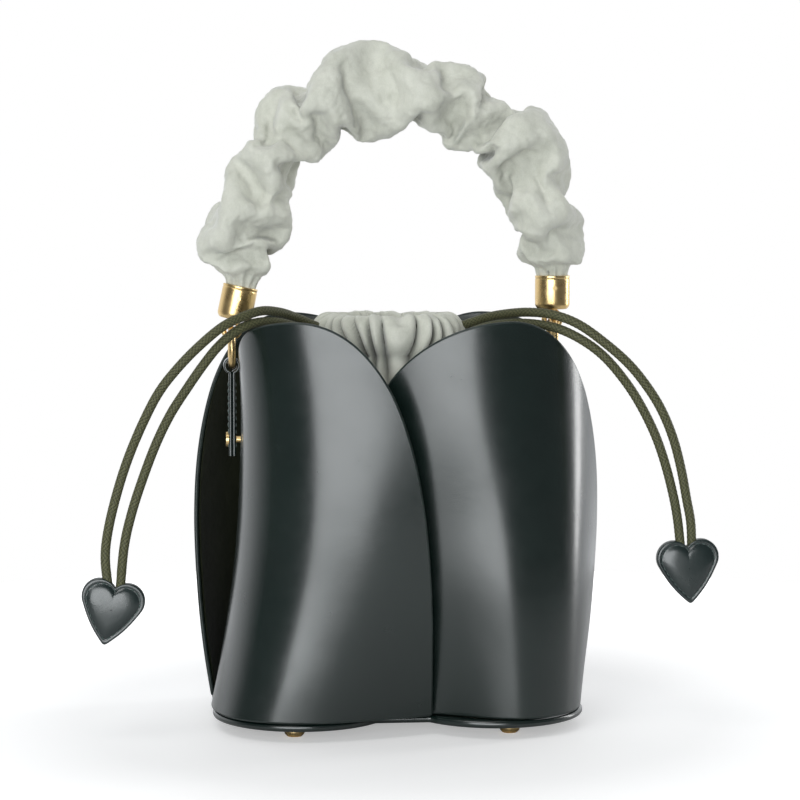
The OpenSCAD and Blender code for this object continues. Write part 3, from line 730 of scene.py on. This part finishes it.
def sheet_piece(name, kind, back, reach, low, high, outer, inner, counts, finishes, nodes):
    """Closed sheet between two offsets from a petal's middle surface, with a round edge"""
    across, up = counts
    shares_a = reach * np.linspace(-1, 1, across)
    shares_b = low + (high - low) * np.linspace(0, 1, up) ** OUTLINE_POWER
    middle, outward = petal_grid(kind, back, shares_a, shares_b)
    middle = middle + outward * (outer + inner) / 2
    half = (outer - inner) / 2
    faces_out = grid(middle + outward * half)
    faces_in = grid(middle - outward * half, flip=True)
    rim = grid(rim_of(middle, outward, half), wrap_cols=True)
    finish = [0] * (len(faces_out[1]) + len(faces_in[1])) + [1] * len(rim[1])
    return make_piece(name, joined(faces_out, faces_in, rim), "bag", finishes, nodes,
                      face_finish=finish)


PETALS = {
    "front_left": (LONG_KIND, False), "front_right": (WIDE_KIND, False),
    "back_right": (LONG_KIND, True), "back_left": (WIDE_KIND, True),
}
for place, (kind, back) in PETALS.items():
    sheet_piece(f"petal_{place}_leather", kind, back, 0.982, 0.00025, 0.991,
                LEATHER_T / 2, -LEATHER_T / 2, (110, 74), [PETAL_LEATHER, EDGE_PAINT],
                [f"petal_{place}"])
    sheet_piece(f"lining_{place}_leather", kind, back, 0.955, 0.0008, 0.955,
                -LEATHER_T / 2 - 0.05, -LEATHER_T / 2 - 0.05 - LINING_T, (80, 56),
                [LINING_LEATHER, LINING_LEATHER], [f"lining_{place}"])


# ---------- base ----------

def in_base(grow):
    """Test of whether a plan point lies inside the base, grown by so much"""
    def inside(p):
        x, y = abs(p[0]), abs(p[1])
        return (math.hypot(x - LOBE_X, y - LOBE_Y) < LOBE_R + grow
                or (x < LOBE_X and y < -NOTCH_Y + grow)
                or (x < SIDE_X - 6 + grow and y < LOBE_Y))
    return inside


def base_piece():
    """The leather cover of the base and the seam under it"""
    outline = outline_of(in_base(BASE_RIM), np.zeros(2), 360, 130)
    spread = np.linalg.norm(outline, axis=1)
    top, low = BASE_Z + BASE_T, BASE_Z
    # inset from the outline and height, from the seam's groove below round the rim to the top
    section = [(5.2, low), (4.6, low - 0.02), (4.0, low), (1.4, low + 0.05), (0.5, low + 0.35),
               (0.1, low + 0.9), (0, low + 1.6), (0.1, low + 2.3), (0.5, low + 2.85),
               (1.4, top), (6, top)]
    plans = [(outline * 0.02, low), (outline * 0.5, low)]
    plans += [(outline * (1 - inset / spread)[:, None], z) for inset, z in section]
    plans.append((outline * 0.02, top))
    rings = np.array([np.column_stack([plan, np.full(len(plan), z)]) for plan, z in plans])
    make_piece("base_cover_leather", grid(rings, wrap_cols=True, flip=True), "bag",
               [PETAL_LEATHER], ["base_cover"])
    seam = outline * (1 - 5 / spread)[:, None]
    path = np.column_stack([seam, np.full(len(seam), low)])
    threads = stitches(np.vstack([path, path[:1]]), (0, 0, -1), stitch=2.6, gap=1.1)
    make_piece("base_thread", threads, "bag", [THREAD])


base_piece()
rest_finish("base_board", BOARD)
for node in ("foot_front_left", "foot_front_right", "foot_back_left", "foot_back_right",
             "foot_nuts"):
    rest_finish(node, GOLD)


# ---------- pouch with its gathered casing ----------

# Share of the height, half width and half depth of the suede up to the casing
POUCH_RINGS = [
    (0, SIDE_X - 17, -NOTCH_Y - 11), (0.04, SIDE_X - 14, -NOTCH_Y - 8),
    (0.3, SIDE_X - 19, -NOTCH_Y - 8), (0.6, SIDE_X - 26, -NOTCH_Y - 8),
    (0.8, SIDE_X - 31, -NOTCH_Y - 8), (0.92, SIDE_X - 39, -NOTCH_Y - 9),
    (1, CASING_R - 4, CASING_R - 4),
]
# Height above the casing's foot, radius and pleat depth, over the mouth and down inside
MOUTH_RINGS = [
    (1, 31.3, 8.6), (2.5, 32.4, 9.0), (4, 33.4, 9.4), (5.5, 34.0, 9.6), (7, 34.3, 9.6),
    (8.5, 34.3, 9.4), (10, 34.1, 9.0), (11.5, 33.8, 8.6), (13, 33.2, 8.0), (14.4, 32.3, 7.4),
    (15.6, 31.0, 6.8), (16.6, 29.4, 6.2), (17.2, 27.6, 5.6), (17.2, 25.8, 5.0), (16.6, 24, 4.4),
    (15.4, 22.4, 3.6), (13.6, 21, 2.8), (11, 20.2, 2.3), (8, 19.8, 1.9), (5, 20, 1.6),
    (2, 21.2, 1.5),
]
POUCH_WALL = 1.6
# Share of the height at which the suede begins to gather
GATHER_FROM = 0.35
PLEATS = 28


def pouch_rows():
    """Rows of the suede from the floor up outside, over the top and down inside:
    height, half width, half depth, pleat depth"""
    rows = []
    shares = np.linspace(0, 1, 46)
    h, w, d = np.array(POUCH_RINGS).T
    for share in shares:
        z = POUCH_Z + share * (CASING_Z - POUCH_Z)
        gather = max(0.0, (share - GATHER_FROM) / (1 - GATHER_FROM))
        rows.append((z, np.interp(share, h, w), np.interp(share, h, d), 0.4 + 8.0 * gather ** 2.2))
    rows += [(CASING_Z + rise, r, r, depth) for rise, r, depth in MOUTH_RINGS]
    for share in shares[::-1][1:]:
        z = POUCH_Z + POUCH_WALL + share * (CASING_Z - POUCH_Z - POUCH_WALL)
        gather = max(0.0, (share - GATHER_FROM) / (1 - GATHER_FROM))
        neck = 9 * max(0.0, (share - 0.9) / 0.1)
        rows.append((z, np.interp(share, h, w) - POUCH_WALL - neck,
                     np.interp(share, h, d) - POUCH_WALL - neck, 0.4 + 1.2 * gather ** 2))
    return rows


def pleat(turn, z):
    """Height of the pleats, 0 in a crease to 1 on a fold: uneven widths, leaning on the left"""
    lean = 0.55 * math.exp(-((turn - 4.05) / 0.45) ** 2) - 0.2 * math.exp(-((turn - 5.2) / 0.3) ** 2)
    drift = (z - CASING_Z - 8) / 16
    wander = 0.9 * noise.noise(Vector((2.2 * math.cos(turn), 2.2 * math.sin(turn), drift * 0.5)))
    phase = PLEATS / 2 * (turn + 0.10 * math.sin(3 * turn + 1) + 0.05 * math.sin(7 * turn)
                          + lean * 0.5 * drift) + wander
    ridge = abs(math.sin(phase))
    size = 0.8 + 0.5 * noise.noise(Vector((math.floor(phase / math.pi) * 1.7, drift * 0.5, 3)))
    return ridge ** 0.55 * size


def pouch_piece():
    """The double suede pouch, with its pleats, soft dents and crumpled mouth"""
    turns = full_turn(720)
    span = POUCH_TOP - POUCH_Z
    rings = []
    for index, (z, width, depth, fold) in enumerate(pouch_rows()):
        shift = POUCH_X * min(1, (z - POUCH_Z) / (CASING_Z - POUCH_Z))
        ring = []
        for turn in turns.tolist():
            crumple = noise.noise(Vector((5 * math.cos(turn), 5 * math.sin(turn), z / 14)))
            soft = noise.noise(Vector((2 * math.cos(turn), 2 * math.sin(turn), z / 45 + 9)))
            out = fold * (pleat(turn, z) - 0.75) + 0.5 * crumple
            out += 1.6 * soft * min(1, (span - (z - POUCH_Z)) / 60)
            lift = 1.1 * crumple * fold / 3.4 if z > CASING_Z + 14 else 0
            ring.append((shift + (width + out) * math.cos(turn),
                         (depth + out) * math.sin(turn), z + lift))
        rings.append(ring)
    rings = np.array(rings)
    low, high = rings[:1].copy(), rings[-1:].copy()
    low[0, :, :2] *= 0.02
    high[0, :, :2] *= 0.02
    shape = grid(np.vstack([low, rings, high]), wrap_cols=True, flip=True)
    pouch = make_piece("pouch_suede", shape, "bag", [SUEDE], ["pouch", "pouch_casing"])


pouch_piece()


# ---------- handle ----------

def leg_up(lean):
    """Direction up a leg of the handle that leans so far from upright"""
    return np.array([math.sin(lean), 0, math.cos(lean)])


LEFT_EYE = np.array([LEFT_RING[0], 0, LEFT_RING[1] + RING_R])
RIGHT_EYE = np.array([RIGHT_RING[0], 0, RIGHT_RING[1] + RING_R])
LEFT_CAP = LEFT_EYE + (FERRULE_RISE + FERRULE_L) * leg_up(LEFT_LEAN)
RIGHT_CAP = RIGHT_EYE + (FERRULE_RISE + FERRULE_L) * leg_up(RIGHT_LEAN)


def arch_path():
    """Centre line of the sleeve, from one ferrule's mouth to the other's"""
    turns = np.radians(np.linspace(172, 8, 48))
    arch = [(ARCH_X + ARCH_W * math.cos(t), 0, SPRING_Z + ARCH_H * math.sin(t)) for t in turns]
    left = [LEFT_CAP + s * leg_up(LEFT_LEAN) for s in (-0.8, 4.0)]
    right = [RIGHT_CAP + s * leg_up(RIGHT_LEAN) for s in (4.0, -0.8)]
    return evenly(smooth_path(left + arch + right, 6), 0.5)


# Tight places of the gathered sleeve: share of its length, and how far the crease leans
GATHERS = [(0.174, 0.10), (0.26, 0.08), (0.37, -0.12), (0.53, -0.06), (0.59, 0.08),
           (0.846, 0.05), (0.945, -0.04)]
SLEEVE_R = 18
SLEEVE_EXCESS = 1.5
SLEEVE_AROUND, SLEEVE_ALONG = 24, 60
# The ends are pleated into the ferrules: radius of a pleat's inner and outer fold there
NECK_IN, NECK_OUT = 5.2, 7.4
# The cloth is simulated at this scale, so its sizes below are not millimetres
SIM_SCALE = 0.01
SIM_FRAMES = 45
BAR_R, BAR_SIDES = 0.06, 28
TACKS = 5
TACK_RADII = (0.085, 0.12)
SQUEEZED_BY = SIM_FRAMES - 8
CLOTH = {
    "quality": 6, "mass": 0.3, "tension_stiffness": 25, "compression_stiffness": 25,
    "shear_stiffness": 8, "bending_stiffness": 6, "tension_damping": 5,
    "compression_damping": 5, "air_damping": 4, "vertex_group_mass": "held",
    "use_pressure": True, "uniform_pressure_force": 1.0,
}
CLOTH_COLLISION = {
    "use_self_collision": True, "self_distance_min": 0.02, "self_friction": 8,
    "distance_min": 0.015, "collision_quality": 3,
}
SUEDE_T = 0.9
# Share of the sleeve that is a leg, and how much flatter its back is at the ferrule
LEG_SHARE, LEG_FLAT = 0.26, 0.35
# The arch's direction at a point is read this far to both sides of it
BEND_STEP = 3.0


def straight_sleeve(length):
    """The sleeve before it is gathered: a long, slightly uneven tube along X"""
    rings = []
    for i in range(SLEEVE_ALONG + 1):
        x = length * (i / SLEEVE_ALONG - 0.5)
        ring = []
        for k in range(SLEEVE_AROUND):
            turn = 2 * math.pi * k / SLEEVE_AROUND
            uneven = noise.noise(Vector((x / 53, math.cos(turn), math.sin(turn)))) * 5
            radius = SLEEVE_R + uneven
            ring.append((x, radius * math.cos(turn), radius * math.sin(turn)))
        rings.append(ring)
    return np.array(rings)


def collision_bar(half_length):
    """Capped bar along X that the cloth is wrapped round"""
    turns = full_turn(BAR_SIDES)
    rings = np.array([[(x, BAR_R * math.cos(t), BAR_R * math.sin(t)) for t in turns]
                      for x in (-half_length, half_length)])
    points, faces = capped_tube(rings, flip=True)
    bar = add_mesh("sleeve_bar", points.tolist(), faces)
    bar.modifiers.new("collision", "COLLISION")
    bar.collision.thickness_outer = 0.01
    return bar


def squeezed_points(points, ratio):
    """Points that are held, the ends and the tacks of each gather, and where they move to"""
    maker = random.Random(11)
    held, squeezed = [], points.copy()

    def hold(index, x, radius):
        squeezed[index, 0] = x
        squeezed[index, 1:] *= radius / np.linalg.norm(points[index, 1:])
        held.append(index)

    for i in (0, 1, SLEEVE_ALONG - 1, SLEEVE_ALONG):
        for k in range(SLEEVE_AROUND):
            index = i * SLEEVE_AROUND + k
            shift = math.copysign(points[-1, 0] * (1 - ratio), points[index, 0])
            fold = (NECK_IN if k % 2 else NECK_OUT) * SIM_SCALE
            fold *= 1.2 if i in (1, SLEEVE_ALONG - 1) else 1
            hold(index, points[index, 0] - shift, fold)
    for share, lean in GATHERS:
        phase = maker.uniform(0, 2 * math.pi)
        for n in range(TACKS):
            turn = phase + n * 2 * math.pi / TACKS + maker.uniform(-0.3, 0.3)
            k = round(turn / (2 * math.pi) * SLEEVE_AROUND) % SLEEVE_AROUND
            i = round(SLEEVE_ALONG * (share + 0.17 * lean * math.cos(turn)) + maker.uniform(-1, 1))
            i = max(4, min(SLEEVE_ALONG - 4, i))
            index = i * SLEEVE_AROUND + k
            hold(index, points[index, 0] * ratio, maker.uniform(*TACK_RADII))
    return held, squeezed


def gather_by_cloth(rings, length):
    """Pushes the tube together along its core by cloth simulation"""
    points, faces = grid(rings * SIM_SCALE, wrap_cols=True, flip=True)
    cloth = add_mesh("sleeve_cloth", points.tolist(), faces)
    bar = collision_bar(rings[-1, 0, 0] * SIM_SCALE * 1.2)
    held, squeezed = squeezed_points(points, length / (rings[-1, 0, 0] - rings[0, 0, 0]))
    cloth.vertex_groups.new(name="held").add(held, 1.0, "REPLACE")
    cloth.shape_key_add(name="Basis")
    key = cloth.shape_key_add(name="squeeze")
    for index in held:
        key.data[index].co = squeezed[index]
    for value, frame_number in ((0, 1), (1, SQUEEZED_BY)):
        key.value = value
        key.keyframe_insert("value", frame=frame_number)
    modifier = cloth.modifiers.new("cloth", "CLOTH")
    for name, value in CLOTH.items():
        setattr(modifier.settings, name, value)
    modifier.settings.effector_weights.gravity = 0
    for name, value in CLOTH_COLLISION.items():
        setattr(modifier.collision_settings, name, value)
    modifier.point_cache.frame_start = 1
    modifier.point_cache.frame_end = SIM_FRAMES
    scene.frame_start, scene.frame_end = 1, SIM_FRAMES
    for frame_number in range(1, SIM_FRAMES + 1):
        scene.frame_set(frame_number)
    shown = cloth.evaluated_get(bpy.context.evaluated_depsgraph_get()).to_mesh()
    out = np.array([v.co[:] for v in shown.vertices]).reshape(rings.shape) / SIM_SCALE
    bpy.data.objects.remove(cloth)
    bpy.data.objects.remove(bar)
    scene.frame_set(1)
    return out


def bend_along(points, path):
    """Wraps straight-tube points, with X along the tube, round the arch"""
    lengths = lengths_along(path)
    along = points[:, :, 0]
    share = (along - along[0].mean()) / (along[-1].mean() - along[0].mean())
    at = np.clip(share, 0, 1) * lengths[-1]
    centre = sample(path, lengths, at)
    run = unit(sample(path, lengths, at + BEND_STEP) - sample(path, lengths, at - BEND_STEP))
    outward = np.stack([-run[:, :, 2], np.zeros(at.shape), run[:, :, 0]], -1)
    # the back of each leg lies flatter, where it comes down on a petal when the handle swings
    near_end = np.clip(1 - np.minimum(share, 1 - share) / LEG_SHARE, 0, 1)
    across = points[:, :, 1]
    across = np.where(across < 0, across * (1 - LEG_FLAT * near_end), across)
    sideways = np.array([0, -1.0, 0])
    return centre + outward * points[:, :, 2:3] + sideways * across[:, :, None]


def sleeve_piece():
    """The gathered suede sleeve, from one ferrule to the other, finely crumpled"""
    path = arch_path()
    length = path_length(path)
    rings = straight_sleeve(length * SLEEVE_EXCESS)
    gathered = gather_by_cloth(rings, length)
    shape = grid(bend_along(gathered, path), wrap_cols=True)
    sleeve = make_piece("handle_sleeve_suede", shape, "handle", [SUEDE],
                        ["handle_sleeve"])
    smooth = sleeve.modifiers.new("smooth", "SUBSURF")
    smooth.levels = smooth.render_levels = 3
    crumple = bpy.data.textures.new("crumple", "CLOUDS")
    crumple.noise_scale = 0.0065
    crumple.noise_depth = 2
    creased = sleeve.modifiers.new("crumple", "DISPLACE")
    creased.texture = crumple
    creased.strength = 2.3 * MM
    skin = sleeve.modifiers.new("skin", "SOLIDIFY")
    skin.thickness = SUEDE_T * MM
    skin.offset = -1


def ferrule_piece(name, eye, lean):
    """Gold cup that takes the sleeve's end, with a stem and the eye below it"""
    r = FERRULE_D / 2
    bore = FERRULE_BORE / 2
    cup = lathe(rounded_profile([
        (0.01, 0, 0), (r - 1.2, 0, 0.6), (r, 1.6, 1.0), (r, FERRULE_L - 1.6, 0.3),
        (r - 0.22, FERRULE_L - 1.3, 0.12), (r, FERRULE_L - 1.0, 0.3), (r, FERRULE_L, 0.35),
        (r - 1.0, FERRULE_L, 0.35), (bore, FERRULE_L - 0.8, 0.3), (bore, FERRULE_FLOOR, 0),
        (0.01, FERRULE_FLOOR, 0)]), 96)
    stem = lathe(rounded_profile([
        (1.6, -2.2, 0), (1.7, -1.0, 0.4), (2.6, 0.2, 0.5), (3.2, 0.3, 0)]), 48)
    ring = turned(torus(EYE_R, EYE_WIRE, 72, 24), 0, math.pi / 2)
    shape = joined(moved(cup, (0, 0, FERRULE_RISE)), moved(stem, (0, 0, FERRULE_RISE)), ring)
    make_piece(name + "_metal", moved(turned(shape, 1, lean), eye), "handle", [GOLD],
               [name], sharp=50)


sleeve_piece()
ferrule_piece("ferrule_left", LEFT_EYE, LEFT_LEAN)
ferrule_piece("ferrule_right", RIGHT_EYE, RIGHT_LEAN)
rest_finish("handle_core", ROPE)
for node in ("ferrule_pin_left", "ferrule_pin_right", "o_ring_left", "o_ring_right",
             "tab_rivet_left", "tab_rivet_right"):
    rest_finish(node, GOLD)


# ---------- ring tabs ----------

def tab_path(x, low):
    """Middle of the folded strap: up one side, over the ring's wire and down the other"""
    loop_r = TAB_BORE + TAB_T / 2
    side = TAB_T / 2 + TAB_GAP
    start = math.asin(side / loop_r)
    turns = np.linspace(-math.pi / 2 - start, -math.pi / 2 + start - 2 * math.pi, 40)
    loop = [(x + loop_r * math.cos(t), 0, low + loop_r * math.sin(t)) for t in turns]
    neck = loop_r + 2.5
    up = [(x - side, 0, z) for z in np.linspace(low - TAB_FOOT, low - neck, 12)]
    down = [(x + side, 0, z) for z in np.linspace(low - neck, low - TAB_FOOT, 12)]
    return evenly(smooth_path(up + loop + down, 4), 0.6)


def strap_section(width, thick):
    """Flat strap section with round edges, as (across, through) pairs"""
    out = []
    for side in (1, -1):
        for k in range(6):
            turn = math.pi / 2 - math.pi * k / 5
            out.append((side * (width / 2 - thick / 2 + thick / 2 * math.cos(turn)),
                        side * thick / 2 * math.sin(turn)))
    return np.array(out)


def tab_piece(name, x, z):
    """Leather strap folded round the foot of an O-ring, and its two seams on each face"""
    low = z - RING_R
    path = tab_path(x, low)
    through = np.cross(unit(np.gradient(path, axis=0)), (0, 1, 0))
    section = strap_section(TAB_W, TAB_T)
    rings = (path[:, None, :] + section[None, :, :1] * np.array([0, 1.0, 0])
             + section[None, :, 1:] * through[:, None, :])
    make_piece(name + "_leather", capped_tube(rings), "bag", [PETAL_LEATHER],
               [name], sharp=60)
    seams = []
    for side in (-1, 1):
        for across in (-1, 1):
            face_x = x + side * (TAB_T + TAB_GAP)
            y = across * (TAB_W / 2 - 1.1)
            line = [(face_x, y, low - 7 - s) for s in np.linspace(0, TAB_FOOT - 10, 30)]
            seams.append(stitches(line, (side, 0, 0), stitch=2, gap=0.9, thread=0.5, sink=0.0))
    make_piece(name + "_thread", joined(*seams), "bag", [THREAD])


tab_piece("ring_tab_left", *LEFT_RING)
tab_piece("ring_tab_right", *RIGHT_RING)


# ---------- studio ----------

# Brightness of the room in front of the bag and of the white backdrop behind it, and how
# far back, as the Y of a direction, it starts and ends changing from one to the other
ROOM_FRONT, ROOM_BACK = 0.12, 0.95
ROOM_TURN = (-0.15, 0.6)
# The floor is a round white table; its own glow near the bag and at its edge, and the
# distances from the bag's middle between which it changes
FLOOR_R = 0.46
FLOOR_NEAR, FLOOR_FAR = 0.40, 1.0
FLOOR_TURN = (0.14, 0.42)
# Height of the point the lamps are aimed at
AIM_Z = 0.13


def floor_finish():
    """Pale matt floor that reads as white to the camera and keeps the object's shadow"""
    f = Finish("floor", Roughness=0.6, Specular_IOR_Level=0.2)
    tone = f.ramp(f.noise(3, detail=3), (0.3, 0.74), (0.7, 0.76))
    f.join(Base_Color=tone)
    path = f.node("LightPath")
    seen = f.maths("MAXIMUM", path.outputs["Is Camera Ray"], path.outputs["Is Transmission Ray"])
    away = f.node("VectorMath", {0: f.place}, operation="LENGTH").outputs["Value"]
    fade = f.node("MapRange", {"Value": away, "From Min": FLOOR_TURN[0], "From Max": FLOOR_TURN[1],
                               "To Min": FLOOR_NEAR, "To Max": FLOOR_FAR}).outputs[0]
    glow = f.node("Emission", {"Color": (1, 1, 1, 1), "Strength": f.maths("MULTIPLY", seen, fade)})
    both = f.node("AddShader", {0: f.shader.outputs[0], 1: glow.outputs[0]})
    output = f.tree.nodes["Material Output"]
    f.tree.links.new(both.outputs[0], output.inputs["Surface"])
    return f.material


def round_floor():
    """The table under the bag"""
    turns = full_turn(128)
    rim = [(FLOOR_R * math.cos(t), FLOOR_R * math.sin(t), 0) for t in turns]
    floor = add_mesh("floor", rim, [list(range(len(rim)))])
    floor.data.materials.append(floor_finish())


def room():
    """World that lights the bag by direction, and that the camera sees as plain white"""
    world = bpy.data.worlds.new("studio")
    scene.world = world
    world.use_nodes = True
    tree = world.node_tree
    way = add_node(tree, "SeparateXYZ", {0: add_node(tree, "TexCoord").outputs["Generated"]})
    limits = {1: ROOM_TURN[0], 2: ROOM_TURN[1], 3: ROOM_FRONT, 4: ROOM_BACK}
    glow = add_node(tree, "MapRange", {0: way.outputs["Y"], **limits},
                    interpolation_type="SMOOTHSTEP")
    walls = tree.nodes["Background"]
    walls.inputs["Color"].default_value = (0.95, 0.975, 1.0, 1)
    tree.links.new(glow.outputs[0], walls.inputs["Strength"])
    white = add_node(tree, "Background", {"Color": (1, 1, 1, 1)})
    seen = add_node(tree, "LightPath").outputs["Is Camera Ray"]
    mix = add_node(tree, "MixShader", {0: seen, 1: walls.outputs[0], 2: white.outputs[0]})
    tree.links.new(mix.outputs[0], tree.nodes["World Output"].inputs["Surface"])


def soft_box(name, azimuth, distance, height, width, tall, radiance, tint=(1, 1, 1)):
    """Rectangular lamp round the bag; azimuth 0 is in front, positive to the right"""
    lamp_data = bpy.data.lights.new(name, "AREA")
    lamp_data.shape = "RECTANGLE"
    lamp_data.color = tint
    lamp_data.size, lamp_data.size_y = width, tall
    lamp_data.energy = radiance * math.pi * width * tall
    lamp = bpy.data.objects.new(name, lamp_data)
    turn = math.radians(azimuth)
    lamp.location = (distance * math.sin(turn), -distance * math.cos(turn), height)
    way = Vector((0, 0, AIM_Z)) - lamp.location
    lamp.rotation_euler = way.to_track_quat("-Z", "Y").to_euler()
    scene.collection.objects.link(lamp)


round_floor()
room()
soft_box("key_strip", -16, 1.5, 0.25, 1.15, 1.0, 4.5, (0.95, 0.985, 1.0))
soft_box("top_box", -35, 0.8, 1.35, 0.7, 0.7, 3.2)
soft_box("right_rim", 108, 1.3, 0.4, 0.25, 1.0, 6.0)
scene.view_settings.view_transform = "Standard"
